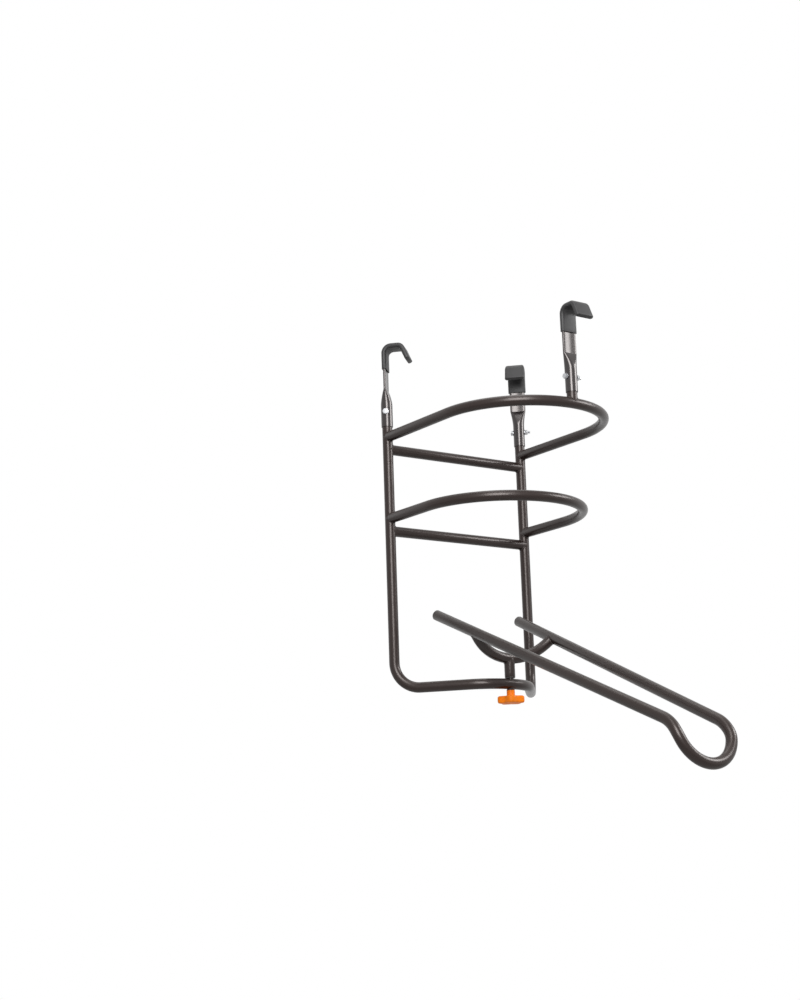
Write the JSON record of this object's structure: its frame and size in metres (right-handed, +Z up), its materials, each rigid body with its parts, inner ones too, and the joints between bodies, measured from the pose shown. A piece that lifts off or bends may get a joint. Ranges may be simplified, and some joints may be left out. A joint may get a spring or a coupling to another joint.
{
  "type": "basketball return",
  "caption": "Tube cage hung under a basketball rim on padded hooks, with a swivelling tube chute below that rolls the ball back to the shooter.",
  "frame": {"origin": "centre of the rim that the part hangs on, at the height of the rim rod's centreline", "axes": "+Z up, -Y to the court, +Y to the backboard, +X to the right seen from the court side looking along +Y"},
  "size_m": [0.4037, 0.7663, 0.9743],
  "materials": {
    "powder_coat": "satin brown-black powder coat on steel tube",
    "zinc": "bright zinc plate",
    "soft_vinyl": "matte dark grey dipped vinyl",
    "black_plastic": "matte black moulded plastic",
    "orange_plastic": "semi-gloss orange moulded plastic",
    "nylon": "grey nylon"
  },
  "bodies": {
    "frame": {"frame_tube": "powder_coat", "upper_hoop": "powder_coat", "lower_hoop": "powder_coat", "upper_crossbar": "powder_coat", "lower_crossbar": "powder_coat", "front_stub": "powder_coat", "pivot_bush": "powder_coat", "hook_left": "powder_coat", "hook_cap_left": "soft_vinyl", "hook_bolt_left": "zinc", "hook_nut_left": "zinc", "head_washer_left": "zinc", "nut_washer_left": "zinc", "hook_right": "powder_coat", "hook_cap_right": "soft_vinyl", "hook_bolt_right": "zinc", "hook_nut_right": "zinc", "head_washer_right": "zinc", "nut_washer_right": "zinc", "hook_front": "powder_coat", "hook_cap_front": "soft_vinyl", "hook_bolt_front": "zinc", "hook_nut_front": "zinc", "head_washer_front": "zinc", "nut_washer_front": "zinc"},
    "chute": {"chute_rails": "powder_coat", "chute_cradle": "powder_coat", "rail_plug_left": "black_plastic", "rail_plug_right": "black_plastic", "swivel_post": "powder_coat", "post_insert": "zinc", "slip_washer": "nylon"},
    "clamp_travel": {"knob_washer": "black_plastic"},
    "clamp_screw": {"clamp_knob": "orange_plastic", "knob_stud": "zinc"}
  },
  "joints": [
    {"name": "chute_swivel", "type": "hinge", "parent": "frame", "child": "chute", "pos_m": [0, 0.0323, -0.7], "axis": [0, 0, 1], "range_deg": [-90, 90]},
    {"name": "knob_travel", "type": "slide", "parent": "chute", "child": "clamp_travel", "axis": [0, 0, -1], "range_m": [0, 0.003]},
    {"name": "knob_turn", "type": "hinge", "parent": "clamp_travel", "child": "clamp_screw", "pos_m": [0, 0.0323, -0.75], "axis": [0, 0, -1], "range_deg": [0, 721]}
  ],
  "couplings": [
    {"joint": "knob_turn", "follows": "knob_travel", "rad_per_m": 4188.8}
  ]
}
